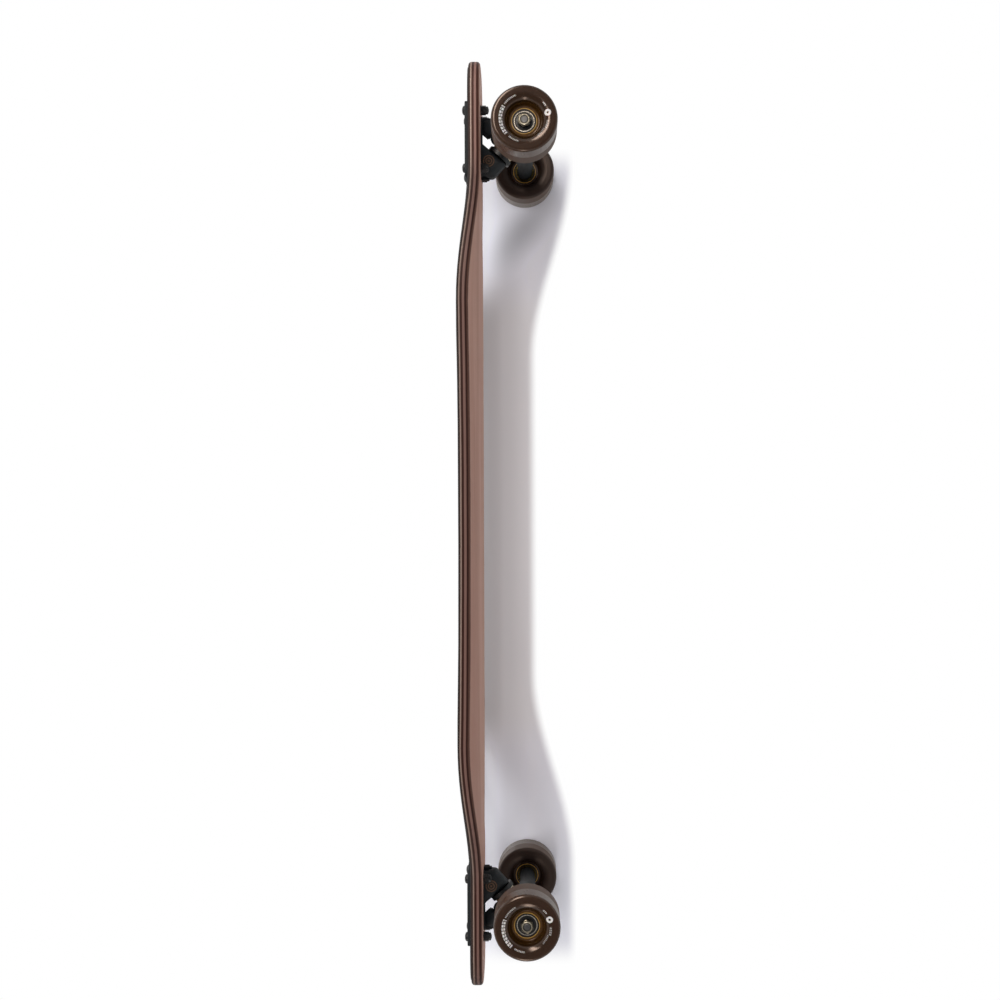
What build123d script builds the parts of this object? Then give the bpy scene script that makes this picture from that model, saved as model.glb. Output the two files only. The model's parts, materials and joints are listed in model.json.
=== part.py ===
from build123d import *
from math import cos, sin, pi, radians
import os

# A drop-through longboard: a moulded maple deck, two reverse-kingpin trucks
# mounted through slots in its necks, and four urethane wheels on bearings.
#
# Board frame: +X to the nose, +Y to the left, +Z up. The wheels stand on z = 0
# and the board is centred on x = 0 and y = 0. Millimetres throughout.
#
# Truck frame: origin on the deck's top surface between the four mounting
# bolts, +X outboard along the board, +Z up.
#
# Steering frame: origin at the centre of the hanger's ring, +X down the pivot
# axis towards the middle of the board, +Z down the kingpin towards its nut.
#
# Wheel frame: origin at the middle of the wheel, +Z outboard along the axle.

os.makedirs("parts", exist_ok=True)

# ------------------------------------------------------------ driving sizes

# Layout
wheelbase = 830.0            # from axle to axle

# Deck
tip_overhang = 94.3          # from each axle to the deck's tip
deck_width = 222.0           # across the platform
deck_thickness = 12.7
neck_width = 108.0           # across the wheel cut-outs
deck_edge_radius = 3.5
neck_inboard = 15.0          # from each axle back to where the neck begins
flare_length = 168.0         # from the neck back to the full width
flare_platform_reach = 103.0       # how far the platform's edge runs on into the flare
flare_neck_reach = 45.0          # how far the neck's edge runs back into the flare
tip_length = 46.0            # from the end of the straight neck to the tip
tip_square_width = 36.0         # how far the tip's end stays square
tip_shoulder = 11.5          # from the tip to where the neck's line would run out
concave_middle = 10.8        # rise of the edge above the centreline, mid-board
concave_ends = 12.6          # the same rise, at the platform's ends
concave_clearance = 2.78     # flat deck inboard of the truck's flange
concave_run = 146.0          # length over which it builds up
concave_ease = 1.15          # above 1, the concave starts softly
concave_steps = 6            # sections that shape the run of the concave
platform_drop = 1.5          # the centreline's drop from neck to platform
grip_thickness = 0.8
grip_inset = 1.5             # bare rim around the grip tape

# Truck geometry
pivot_axis_angle = 49.0      # between the pivot axis and the deck
seat_inboard = 15.6          # the kingpin's seat, inboard of the bolt centre
seat_depth = 31.6            # the kingpin's seat, below the deck's top
ring_lift = 18.35            # from the seat to the middle of the hanger's ring
pivot_reach = 30.2           # from the ring's middle to the pivot's centre
axle_reach = 17.0            # from the kingpin to the axle, along the pivot axis
axle_rake = 6.8              # the axle's offset from the pivot axis

# Baseplate
flange_length = 84.0
flange_width = 57.0
flange_thickness = 3.8
flange_corner = 8.0
flange_edge = 1.0            # rounding of its top edge
block_width = 24.0           # across the block that carries the kingpin
block_inboard = 38.2         # its end wall, inboard of the bolt centre
block_wall_depth = 27.0      # how far that wall goes below the deck's top
block_heel = 5.0             # rounding between the end wall and the back
block_corner = 1.5
block_rounding = 8.0         # of the block's back, seen along the kingpin
seat_overhang = 11.6         # from the kingpin to the end of its seat
core_width = 28.0            # across the core that fills the deck's slot
core_outboard = 27.9         # the core's outer wall, outboard of the bolt centre
core_corner = 5.0
core_drop = 1.3              # how far the core shows below the deck
housing_radius = 9.2         # around the pivot cup
housing_web = 9.0            # across the web that joins it to the core
housing_reach = 7.0          # from the pivot's centre to its mouth
slot_clearance = 1.2         # between the core and the deck's slot
medallion_radius = 6.6       # plain round boss on each side of the block
medallion_height = 0.5
medallion_place = 3.9        # from the kingpin, towards the pivot
medallion_lift = 11.2        # from the seat, towards the deck

# Mounting bolts
bolt_pattern_length = 63.5
bolt_pattern_width = 41.3
bolt_diameter = 4.8
bolt_clearance = 0.35        # between a bolt and its hole, all round
bolt_head_diameter = 10.0
bolt_head_height = 3.0
bolt_socket_across = 3.2
bolt_socket_depth = 1.7
bolt_stickout = 0.7          # thread left showing below the nut
bolt_chamfer = 0.5
mount_nut_across = 9.5
mount_nut_height = 5.2
mount_collar_height = 2.4
mount_washer_diameter = 11.0
mount_washer_thickness = 1.0

# Lock nuts, all sizes
nut_collar_share = 0.88      # the collar's diameter over the width across flats
nut_collar_chamfer = 0.4

# Kingpin, its nut and its cup washers
kingpin_diameter = 9.5
kingpin_clearance = 0.15
kingpin_wall = 12.0          # metal between the seat and the bolt's head
kingpin_head_across = 14.3
kingpin_head_height = 6.0
kingpin_stickout = 1.5
kingpin_chamfer = 0.8
kingpin_nut_height = 5.8
kingpin_collar_height = 2.2
head_pocket_clearance = 0.25
head_pocket_length = 44.0
washer_plate = 1.8
washer_skirt = 0.9
board_washer_radius = 14.4
board_washer_rim = 4.8
road_washer_radius = 11.2
road_washer_rim = 3.3

# Bushings and pivot cup
bushing_bore = 10.2
board_bushing_radius = 12.2
bushing_waist = 0.7          # how far the barrel bulges at half height
road_bushing_base = 12.2
road_bushing_top = 9.8
road_bushing_height = 12.0
cup_wall = 1.52
cup_lip_radius = 8.7
cup_lip_thickness = 1.0
pivot_clearance = 0.08

# Hanger
hanger_width = 180.0
ring_radius = 16.5
ring_thickness = 10.0
ring_bore = 15.0
bushing_seat_depth = 1.0
bushing_seat_radius = 13.2
pivot_radius = 5.6
pivot_neck = 8.8             # from the pivot's centre to where the nose widens
pivot_flare_length = 1.5     # over which the pivot widens into the nose
nose_tip_radius = 8.2
nose_radius = 9.8
arm_end_diameter = 18.0
arm_outer_length = 19.1      # the arm's size along the pivot axis, halfway out
arm_outer_height = 17.6
arm_middle_length = 25.0     # the body's size along the pivot axis, at its middle
arm_middle_height = 16.0
arm_middle_reach = 15.5      # its centre, from the kingpin
arm_middle_rake = 3.4        # its centre, from the pivot axis
shoulder_place = 22.0        # from the middle to the shoulder section
shoulder_length = 23.0
shoulder_height = 15.5
shoulder_rake = 5.0

# Axle
axle_diameter = 7.94
axle_stickout = 0.2          # past the nut's collar
axle_chamfer = 0.8
axle_nut_across = 12.7
axle_nut_height = 5.2
axle_collar_height = 1.8
speed_washer_diameter = 11.4
speed_washer_thickness = 1.0

# Bearings (608 size)
bearing_bore = 8.0
bearing_diameter = 22.0
bearing_width = 7.0
bearing_chamfer = 0.3
inner_race_diameter = 12.1
outer_race_bore = 18.4
ball_diameter = 3.97
ball_count = 7
ball_clearance = 0.05
cage_inner_diameter = 13.7
cage_outer_diameter = 16.3
cage_back = 2.75             # from the balls' plane to the cage's closed side
cage_front = 0.9             # from the balls' plane to its open side
cage_clearance = 0.06
shield_gap = 0.25            # between a shield and the inner race
shield_thickness = 0.3
shield_recess = 0.2
spacer_length = 10.0
spacer_diameter = 10.4
spacer_clearance = 0.06

# Wheels
wheel_diameter = 69.0
wheel_width = 50.0
tread_width = 42.0
shoulder_tread_reach = 2.6      # how far the tread runs on into the rounded shoulder
shoulder_side_reach = 2.2         # how far the side runs on into it
rim_ring_outer = 30.6        # radii of the flat ring on each side of the wheel
rim_ring_inner = 27.2
dish_lip_run = 3.4           # how softly the ring turns into the dish
dish_bend_radius = 19.2      # where the dish's slope turns into its wall
dish_bend_drop = 4.4
dish_bend_run = 1.5          # how softly it turns there, across and down
dish_bend_fall = 2.2
dish_floor_run = 2.2         # how softly the wall meets the floor
dish_floor_radius = 15.2
core_radius = 13.2           # the plastic core, where it shows around the bearing
core_waist_radius = 15.0     # the core's middle, locked into the urethane
core_waist_width = 9.0
core_waist_slope = 2.0       # length of the slope up to the waist
core_proud = 1.0             # how far the core stands out past the bearing
core_stop_radius = 9.6       # the rib that the bearings seat against

# ----------------------------------------------------------- derived values

pivot_cos = cos(radians(pivot_axis_angle))
pivot_sin = sin(radians(pivot_axis_angle))
down_pivot = Vector(-pivot_cos, 0, -pivot_sin)
down_kingpin = Vector(pivot_sin, 0, -pivot_cos)
kingpin_seat = Vector(-seat_inboard, 0, -seat_depth)
ring_centre = kingpin_seat + down_kingpin * ring_lift
steering = Plane(origin=ring_centre, x_dir=down_pivot, z_dir=down_kingpin)
axle_point = ring_centre + down_pivot * axle_reach + down_kingpin * axle_rake

bearing_middle = (spacer_length + bearing_width) / 2
bearing_outer_face = bearing_middle + bearing_width / 2
wheel_track = hanger_width + 2 * (speed_washer_thickness + bearing_outer_face)
axle_nut_face = wheel_track / 2 + bearing_outer_face + speed_washer_thickness
axle_end = axle_nut_face + axle_nut_height + axle_collar_height + axle_stickout

wheel_radius = wheel_diameter / 2
deck_top = wheel_radius - axle_point.Z
bolt_centre = wheelbase / 2 - axle_point.X

half_length = wheelbase / 2 + tip_overhang
half_deck = deck_width / 2
half_neck = neck_width / 2
flare_end = wheelbase / 2 - neck_inboard
platform_end = flare_end - flare_length
tip_start = half_length - tip_length
concave_start = bolt_centre - flange_length / 2 - concave_clearance
flange_bottom = grip_thickness
flange_top = flange_bottom + flange_thickness
core_bottom = -(deck_thickness + core_drop)
core_root = -(deck_thickness + core_drop / 2)
core_length = block_inboard + core_outboard
core_middle = (core_outboard - block_inboard) / 2
slot_length = core_length + 2 * slot_clearance
slot_width = core_width + 2 * slot_clearance
slot_corner = core_corner + slot_clearance
bolt_hole_radius = bolt_diameter / 2 + bolt_clearance

seat_plane = -ring_lift
head_plane = seat_plane - kingpin_wall
seat_face = ring_thickness / 2 - bushing_seat_depth
road_washer_plane = seat_face + road_bushing_height
kingpin_nut_plane = road_washer_plane + washer_plate
kingpin_end = kingpin_nut_plane + kingpin_nut_height + kingpin_collar_height + kingpin_stickout
cup_bore = pivot_radius + pivot_clearance
cup_radius = cup_bore + cup_wall

ball_circle = (bearing_bore + bearing_diameter) / 4
ball_radius = ball_diameter / 2
race_groove = ball_radius + ball_clearance
shield_outer_face = bearing_width / 2 - shield_recess
shield_inner_radius = inner_race_diameter / 2 + shield_gap

ends = {"front": 0, "rear": 180}
sides = {"left": 1, "right": -1}
truck_frames = {
    end: Location((0, 0, 0), (0, 0, turn)) * Location((bolt_centre, 0, deck_top))
    for end, turn in ends.items()
}


def wheel_frame(end, side):
    """The wheel frame of one wheel, its z axis pointing outboard."""
    along = wheelbase / 2 if end == "front" else -wheelbase / 2
    across = sides[side] * wheel_track / 2
    outboard = (0, sides[side], 0)
    return Plane((along, across, wheel_radius), x_dir=(1, 0, 0), z_dir=outboard).location


def write(piece, name):
    """Name a finished piece and write its STEP file."""
    piece.label = name
    export_step(piece, f"parts/{name}.step")


def write_on_trucks(piece, name, frame=Location()):
    """Write a piece of both trucks, built in a frame fixed to the truck."""
    for end, truck in truck_frames.items():
        write(piece.moved(truck * frame), f"{end}_{name}")


# --------------------------------------------------------------------- deck

def concave_share(x):
    """How much of the full concave is reached at x: 0 on the necks, 1 on the platform."""
    along = min(max((concave_start - abs(x)) / concave_run, 0), 1)
    return sin(pi / 2 * along ** concave_ease)


def centreline(x):
    """Height of the deck's top surface on its centreline."""
    return deck_top - platform_drop * concave_share(x)


def edge_rise(x):
    """Rise of the top surface from its centreline to the platform's half width."""
    towards_end = min(abs(x) / platform_end, 1) ** 2
    return concave_share(x) * (concave_middle + (concave_ends - concave_middle) * towards_end)


def sheet_section(x, top, bottom):
    """Section of a sheet that follows the deck, between two heights off its top surface."""
    rise = edge_rise(x)
    height = centreline(x)
    with BuildSketch(Plane.YZ.offset(x)) as section:
        with BuildLine():
            upper = Bezier(
                (-half_deck, height + top + rise),
                (0, height + top - rise),
                (half_deck, height + top + rise),
            )
            lower = Bezier(
                (-half_deck, height + bottom + rise),
                (0, height + bottom - rise),
                (half_deck, height + bottom + rise),
            )
            Line(upper @ 0, lower @ 0)
            Line(upper @ 1, lower @ 1)
        make_face()
    return section.sketch


def sheet_blank(top, bottom):
    """A sheet along the whole deck: a smooth loft through the concave, with flat ends."""
    shares = [step / concave_steps for step in range(concave_steps + 1)]
    steps = [concave_start - concave_run * share for share in shares]
    steps += [platform_end * 2 / 3, platform_end / 3]
    stations = steps + [0] + [-x for x in reversed(steps)]
    loft(sections=[sheet_section(x, top, bottom) for x in stations])
    for end in (1, -1):
        extrude(sheet_section(end * concave_start, top, bottom), amount=end * half_length)


def deck_outline(inset):
    """The deck's plan shape, drawn in by an inset: platform, flares, necks and tips."""
    platform_edge = half_deck - inset
    neck_edge = half_neck - inset
    tip = half_length - inset
    with BuildSketch(Plane.XY) as outline:
        with BuildLine():
            Line((0, platform_edge), (platform_end, platform_edge))
            Bezier(
                (platform_end, platform_edge),
                (platform_end + flare_platform_reach, platform_edge),
                (flare_end - flare_neck_reach, neck_edge),
                (flare_end, neck_edge),
            )
            Line((flare_end, neck_edge), (tip_start, neck_edge))
            Bezier(
                (tip_start, neck_edge),
                (tip - tip_shoulder, neck_edge),
                (tip, tip_square_width - inset),
                (tip, 0),
            )
            mirror(about=Plane.YZ)
            mirror(about=Plane.XZ)
        make_face()
    return outline.sketch


def truck_cutouts():
    """Plan shape of what the trucks need through the deck: two slots and eight bolt holes."""
    with BuildSketch(Plane.XY) as cutouts:
        with Locations((bolt_centre + core_middle, 0), (-bolt_centre - core_middle, 0)):
            RectangleRounded(slot_length, slot_width, slot_corner)
        with Locations((bolt_centre, 0), (-bolt_centre, 0)):
            with GridLocations(bolt_pattern_length, bolt_pattern_width, 2, 2):
                Circle(bolt_hole_radius)
    return cutouts.sketch


def make_deck():
    with BuildPart() as deck:
        sheet_blank(0, -deck_thickness)
        extrude(deck_outline(0), amount=2 * deck_top, mode=Mode.INTERSECT)
        rim = deck.edges().filter_by(Axis.Z, reverse=True)
        extrude(truck_cutouts(), amount=2 * deck_top, mode=Mode.SUBTRACT)
        fillet(rim, deck_edge_radius)
    write(deck.part, "deck")


def make_grip_tape():
    with BuildPart() as grip_tape:
        sheet_blank(grip_thickness, 0)
        inset = grip_inset + deck_edge_radius
        extrude(deck_outline(inset), amount=2 * deck_top, mode=Mode.INTERSECT)
        extrude(truck_cutouts(), amount=2 * deck_top, mode=Mode.SUBTRACT)
    write(grip_tape.part, "grip_tape")


# ---------------------------------------------------------------- baseplate

def in_truck(along_pivot, along_kingpin):
    """A point of the truck's middle plane, from steering to truck coordinates."""
    point = steering.from_local_coords(Vector(along_pivot, 0, along_kingpin))
    return (point.X, point.Z)


def make_seat_block():
    """The block under the deck that carries the kingpin, rounded across its back."""
    seat_end = in_truck(seat_overhang, seat_plane)
    climb = (core_root - seat_end[1]) / pivot_sin
    seat_root = in_truck(seat_overhang - climb, seat_plane)
    heel = (-block_inboard, -block_wall_depth)
    with BuildPart() as block:
        with BuildSketch(Plane.XZ) as profile:
            with BuildLine():
                Polyline((-block_inboard, core_root), heel, seat_end, seat_root, close=True)
            make_face()
            fillet(profile.vertices().sort_by_distance((*heel, 0))[0], block_heel)
            fillet(profile.vertices().sort_by(Axis.Y)[0], block_corner)
        extrude(amount=block_width / 2, both=True)
        back = block.faces().filter_by(Axis.X)[0]
        fillet(back.edges().filter_by(Axis.Z), block_rounding)
    return block.part


def housing_web_profile():
    """Side view of the web between the core and the pivot housing."""
    mouth = housing_reach - pivot_reach
    to_wall = (ring_centre.X + housing_radius * pivot_sin - core_outboard) / pivot_cos
    to_core = (ring_centre.Z + housing_radius * pivot_cos - core_root) / pivot_sin
    with BuildSketch(Plane.XZ) as profile:
        with BuildLine():
            Polyline(
                (core_outboard, core_root),
                in_truck(to_wall, housing_radius),
                in_truck(mouth, housing_radius),
                in_truck(mouth, -housing_radius),
                in_truck(to_core, -housing_radius),
                close=True,
            )
        make_face()
    return profile.sketch


def make_baseplate():
    pivot = Plane(
        origin=steering.from_local_coords(Vector(-pivot_reach, 0, 0)), z_dir=down_pivot
    )
    seat_block = make_seat_block()
    with BuildPart() as baseplate:
        # the core that fills the deck's slot
        with BuildSketch(Plane.XY.offset(core_bottom)):
            with Locations((core_middle, 0)):
                RectangleRounded(core_length, core_width, core_corner)
        extrude(amount=flange_bottom - core_bottom)
        # the block under the kingpin, with a plain round boss on each side
        add(seat_block)
        medallion = in_truck(-medallion_place, seat_plane - medallion_lift)
        for face in (-1, 1):
            with BuildSketch(Plane.XZ.offset(face * block_width / 2)):
                with Locations(medallion):
                    Circle(medallion_radius)
            extrude(amount=face * medallion_height)
        # the pivot housing
        extrude(housing_web_profile(), amount=housing_web / 2, both=True)
        with BuildSketch(pivot):
            Circle(housing_radius)
        extrude(amount=housing_reach)
        with Locations(pivot.origin):
            Sphere(housing_radius)
        # bored for the pivot cup
        with BuildSketch(pivot):
            Circle(cup_radius)
        extrude(amount=2 * housing_reach, mode=Mode.SUBTRACT)
        with Locations(pivot.origin):
            Sphere(cup_radius, mode=Mode.SUBTRACT)
        # bored for the kingpin, with a hexagonal pocket for its head
        with BuildSketch(steering.offset(seat_plane)):
            Circle(kingpin_diameter / 2 + kingpin_clearance)
        extrude(amount=-2 * kingpin_wall, mode=Mode.SUBTRACT)
        with BuildSketch(steering.offset(head_plane)):
            across = kingpin_head_across / 2 + head_pocket_clearance
            RegularPolygon(across, 6, major_radius=False)
        extrude(amount=-head_pocket_length, mode=Mode.SUBTRACT)
        # the flange on the deck's top, drilled for the bolts
        with BuildSketch(Plane.XY.offset(flange_bottom)):
            RectangleRounded(flange_length, flange_width, flange_corner)
            with GridLocations(bolt_pattern_length, bolt_pattern_width, 2, 2):
                Circle(bolt_hole_radius, mode=Mode.SUBTRACT)
        extrude(amount=flange_thickness)
        fillet(baseplate.faces().sort_by(Axis.Z)[-1].outer_wire().edges(), flange_edge)
    write_on_trucks(baseplate.part, "baseplate")


def make_pivot_cup():
    with BuildPart() as pivot_cup:
        with BuildSketch(Plane.XZ) as profile:
            with Locations((-pivot_reach, 0)):
                Circle(cup_radius)
                with Locations((housing_reach / 2, 0)):
                    Rectangle(housing_reach, 2 * cup_radius)
                with Locations((housing_reach + cup_lip_thickness / 2, 0)):
                    Rectangle(cup_lip_thickness, 2 * cup_lip_radius)
                Circle(cup_bore, mode=Mode.SUBTRACT)
                bore_length = housing_reach + cup_lip_thickness
                with Locations((bore_length / 2, 0)):
                    Rectangle(bore_length, 2 * cup_bore, mode=Mode.SUBTRACT)
            split(bisect_by=Plane.XZ)
        revolve(axis=Axis.X)
    write_on_trucks(pivot_cup.part, "pivot_cup", steering.location)


# ------------------------------------------------------------- mounting bolts

def at_bolts(piece):
    """Four copies of a piece, one at each mounting bolt."""
    places = GridLocations(bolt_pattern_length, bolt_pattern_width, 2, 2)
    return Compound([piece.moved(place) for place in places])


def make_mounting_bolts():
    nut_stack = mount_washer_thickness + mount_nut_height + mount_collar_height
    bolt_end = -(deck_thickness + nut_stack + bolt_stickout)
    with BuildPart() as bolt:
        with BuildSketch(Plane.XY.offset(bolt_end)):
            Circle(bolt_diameter / 2)
        extrude(amount=flange_top - bolt_end)
        chamfer(bolt.faces().sort_by(Axis.Z)[0].edges(), bolt_chamfer)
        # a dome on a short straight rim
        rim = bolt_head_height / 4
        with BuildSketch(Plane.XZ):
            with BuildLine():
                Line((0, flange_top), (bolt_head_diameter / 2, flange_top))
                Line((bolt_head_diameter / 2, flange_top), (bolt_head_diameter / 2, flange_top + rim))
                EllipticalCenterArc(
                    (0, flange_top + rim),
                    bolt_head_diameter / 2,
                    bolt_head_height - rim,
                    start_angle=0,
                    arc_size=90,
                )
                Line((0, flange_top + bolt_head_height), (0, flange_top))
            make_face()
        revolve(axis=Axis.Z)
        with BuildSketch(Plane.XY.offset(flange_top + bolt_head_height)):
            RegularPolygon(bolt_socket_across / 2, 6, major_radius=False)
        extrude(amount=-bolt_socket_depth, mode=Mode.SUBTRACT)
    write_on_trucks(at_bolts(bolt.part), "mounting_bolts")


def hex_nut(across, height, collar_height, bore):
    """A lock nut standing on z = 0: a hexagon with its corners turned, and a round collar."""
    with BuildPart() as nut:
        with BuildSketch():
            RegularPolygon(across / 2, 6, major_radius=False)
        extrude(amount=height)
        corner = across / 2 / cos(radians(30))
        bevel = (corner - across / 2) / 2
        with BuildSketch(Plane.XZ):
            with BuildLine():
                Polyline(
                    (0, 0),
                    (across / 2, 0),
                    (corner, bevel),
                    (corner, height - bevel),
                    (across / 2, height),
                    (0, height),
                    close=True,
                )
            make_face()
        revolve(axis=Axis.Z, mode=Mode.INTERSECT)
        with BuildSketch(Plane.XY.offset(height)):
            Circle(nut_collar_share * across / 2)
        extrude(amount=collar_height)
        chamfer(nut.faces().sort_by(Axis.Z)[-1].edges(), nut_collar_chamfer)
        with BuildSketch():
            Circle(bore / 2)
        extrude(amount=height + collar_height, mode=Mode.SUBTRACT)
    return nut.part


def make_mounting_nuts():
    with BuildPart() as washer:
        with BuildSketch(Plane.XY.offset(-deck_thickness - mount_washer_thickness)):
            Circle(mount_washer_diameter / 2)
            Circle(bolt_hole_radius, mode=Mode.SUBTRACT)
        extrude(amount=mount_washer_thickness)
    write_on_trucks(at_bolts(washer.part), "mounting_washers")
    nut = hex_nut(mount_nut_across, mount_nut_height, mount_collar_height, bolt_diameter)
    under_washer = Location((0, 0, -deck_thickness - mount_washer_thickness), (180, 0, 0))
    write_on_trucks(at_bolts(nut.moved(under_washer)), "mounting_nuts")


# ------------------------------------------------------- kingpin and bushings

def make_kingpin():
    with BuildPart() as kingpin:
        with BuildSketch(Plane.XY.offset(head_plane)):
            Circle(kingpin_diameter / 2)
        extrude(amount=kingpin_end - head_plane)
        chamfer(kingpin.faces().sort_by(Axis.Z)[-1].edges(), kingpin_chamfer)
        with BuildSketch(Plane.XY.offset(head_plane)):
            RegularPolygon(kingpin_head_across / 2, 6, major_radius=False)
        extrude(amount=-kingpin_head_height)
    write_on_trucks(kingpin.part, "kingpin", steering.location)

    nut = hex_nut(
        kingpin_head_across, kingpin_nut_height, kingpin_collar_height, kingpin_diameter
    )
    seat = steering.location * Location((0, 0, kingpin_nut_plane))
    write_on_trucks(nut, "kingpin_nut", seat)


def cup_washer(radius, rim, plane, facing):
    """A round washer on a plane, with a skirt that holds the bushing; facing is +1 or -1."""
    with BuildPart() as washer:
        with BuildSketch(Plane.XY.offset(plane)):
            Circle(radius)
            Circle(bushing_bore / 2, mode=Mode.SUBTRACT)
        extrude(amount=facing * washer_plate)
        with BuildSketch(Plane.XY.offset(plane)):
            Circle(radius)
            Circle(radius - washer_skirt, mode=Mode.SUBTRACT)
        extrude(amount=facing * rim)
    return washer.part


def make_kingpin_washers():
    board_side = cup_washer(board_washer_radius, board_washer_rim, seat_plane, 1)
    road_side = cup_washer(road_washer_radius, road_washer_rim, kingpin_nut_plane, -1)
    pair = Compound([board_side, road_side])
    write_on_trucks(pair, "kingpin_washers", steering.location)


def make_bushings():
    bottom = seat_plane + washer_plate
    middle = (bottom - seat_face) / 2
    with BuildPart() as board_side:
        with BuildSketch(Plane.XZ):
            with BuildLine():
                barrel = ThreePointArc(
                    (board_bushing_radius - bushing_waist, bottom),
                    (board_bushing_radius, middle),
                    (board_bushing_radius - bushing_waist, -seat_face),
                )
                Polyline(
                    barrel @ 1, (bushing_bore / 2, -seat_face), (bushing_bore / 2, bottom), barrel @ 0
                )
            make_face()
        revolve(axis=Axis.Z)
    write_on_trucks(board_side.part, "boardside_bushing", steering.location)

    with BuildPart() as road_side:
        with BuildSketch(Plane.XZ):
            with BuildLine():
                Polyline(
                    (bushing_bore / 2, seat_face),
                    (road_bushing_base, seat_face),
                    (road_bushing_top, road_washer_plane),
                    (bushing_bore / 2, road_washer_plane),
                    close=True,
                )
            make_face()
        revolve(axis=Axis.Z)
    write_on_trucks(road_side.part, "roadside_bushing", steering.location)


# ------------------------------------------------------------------- hanger

def arm_section(across, reach, rake, length, height):
    """An oval section of the hanger's arm, at a distance across from the middle."""
    with BuildSketch(Plane.XZ.offset(-across)) as section:
        with Locations((reach, rake)):
            Ellipse(length / 2, height / 2)
    return section.sketch


def make_hanger():
    half_width = hanger_width / 2
    shoulder_reach = (arm_middle_reach + axle_reach) / 2
    sections = [
        (0, arm_middle_reach, arm_middle_rake, arm_middle_length, arm_middle_height),
        (shoulder_place, shoulder_reach, shoulder_rake, shoulder_length, shoulder_height),
        (half_width / 2, axle_reach, axle_rake, arm_outer_length, arm_outer_height),
        (half_width, axle_reach, axle_rake, arm_end_diameter, arm_end_diameter),
    ]
    with BuildPart() as hanger:
        # the arms, oval at the middle and round at their ends
        loft(sections=[arm_section(*section) for section in sections])
        mirror(about=Plane.XZ)
        # the ring around the kingpin
        with BuildSketch(Plane.XY.offset(-ring_thickness / 2)):
            Circle(ring_radius)
        extrude(amount=ring_thickness)
        # the nose, a ball-ended pin that widens towards the ring
        with BuildSketch(Plane.XZ):
            with BuildLine():
                tip = CenterArc((-pivot_reach, 0), pivot_radius, 90, 90)
                nose = Polyline(
                    tip @ 0,
                    (pivot_neck - pivot_reach, pivot_radius),
                    (pivot_neck + pivot_flare_length - pivot_reach, nose_tip_radius),
                    (-ring_radius, nose_radius),
                    (0, nose_radius),
                    (0, 0),
                )
                Line(nose @ 1, tip @ 1)
            make_face()
        revolve(axis=Axis.X)
        # seats for the two bushings, and the bore around the kingpin
        for facing in (1, -1):
            with BuildSketch(Plane.XY.offset(facing * seat_face)):
                Circle(bushing_seat_radius)
            extrude(amount=facing * ring_lift, mode=Mode.SUBTRACT)
        with BuildSketch(Plane.XY.offset(-ring_thickness)):
            Circle(ring_bore / 2)
        extrude(amount=2 * ring_thickness, mode=Mode.SUBTRACT)
        # bored for the axle
        with BuildSketch(Plane.XZ.offset(-half_width)):
            with Locations((axle_reach, axle_rake)):
                Circle(axle_diameter / 2)
        extrude(amount=hanger_width, mode=Mode.SUBTRACT)
    write_on_trucks(hanger.part, "hanger", steering.location)


def on_axle(piece):
    """Two copies of a piece that is built in the wheel frame, one for each end of the axle."""
    copies = []
    for side in sides.values():
        place = Plane(
            (axle_reach, side * wheel_track / 2, axle_rake), x_dir=(1, 0, 0), z_dir=(0, side, 0)
        )
        copies.append(piece.moved(place.location))
    return copies


def ring(inner_radius, outer_radius, bottom, height):
    """A plain ring around the axle."""
    with BuildPart() as body:
        with BuildSketch(Plane.XY.offset(bottom)):
            Circle(outer_radius)
            Circle(inner_radius, mode=Mode.SUBTRACT)
        extrude(amount=height)
    return body.part


def make_axle():
    with BuildPart() as axle:
        with BuildSketch(Plane.XZ.offset(-axle_end)):
            with Locations((axle_reach, axle_rake)):
                Circle(axle_diameter / 2)
        extrude(amount=2 * axle_end)
        chamfer(axle.edges().filter_by(GeomType.CIRCLE), axle_chamfer)
    write_on_trucks(axle.part, "axle", steering.location)

    nut = hex_nut(axle_nut_across, axle_nut_height, axle_collar_height, axle_diameter)
    seat = Location((0, 0, axle_nut_face - wheel_track / 2))
    write_on_trucks(Compound(on_axle(nut.moved(seat))), "axle_nuts", steering.location)

    washers = []
    for bottom in (bearing_outer_face, -bearing_outer_face - speed_washer_thickness):
        washer = ring(
            bearing_bore / 2, speed_washer_diameter / 2, bottom, speed_washer_thickness
        )
        washers += on_axle(washer)
    write_on_trucks(Compound(washers), "speed_washers", steering.location)

    spacer = ring(
        axle_diameter / 2 + spacer_clearance, spacer_diameter / 2, -spacer_length / 2, spacer_length
    )
    write_on_trucks(Compound(on_axle(spacer)), "bearing_spacers", steering.location)


# ----------------------------------------------------------------- bearings

def race(inner_radius, outer_radius):
    """A bearing race with its ball groove, its middle plane on z = 0."""
    with BuildPart() as body:
        with BuildSketch(Plane.XZ):
            with Locations(((inner_radius + outer_radius) / 2, 0)):
                Rectangle(outer_radius - inner_radius, bearing_width)
            with Locations((ball_circle, 0)):
                Circle(race_groove, mode=Mode.SUBTRACT)
        revolve(axis=Axis.Z)
    return body.part


def in_both_bearings(piece):
    """Two copies of a bearing's piece, one in each bearing of a wheel."""
    return [piece.moved(Location((0, 0, z))) for z in (bearing_middle, -bearing_middle)]


def make_inner_races():
    inner = race(bearing_bore / 2, inner_race_diameter / 2)
    races = [copy for bearing in in_both_bearings(inner) for copy in on_axle(bearing)]
    write_on_trucks(Compound(races), "bearing_inner_races", steering.location)


def make_outer_race():
    outer = race(outer_race_bore / 2, bearing_diameter / 2)
    rim = outer.edges().filter_by(GeomType.CIRCLE).group_by(SortBy.RADIUS)[-1]
    return outer.chamfer(bearing_chamfer, None, rim)


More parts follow.
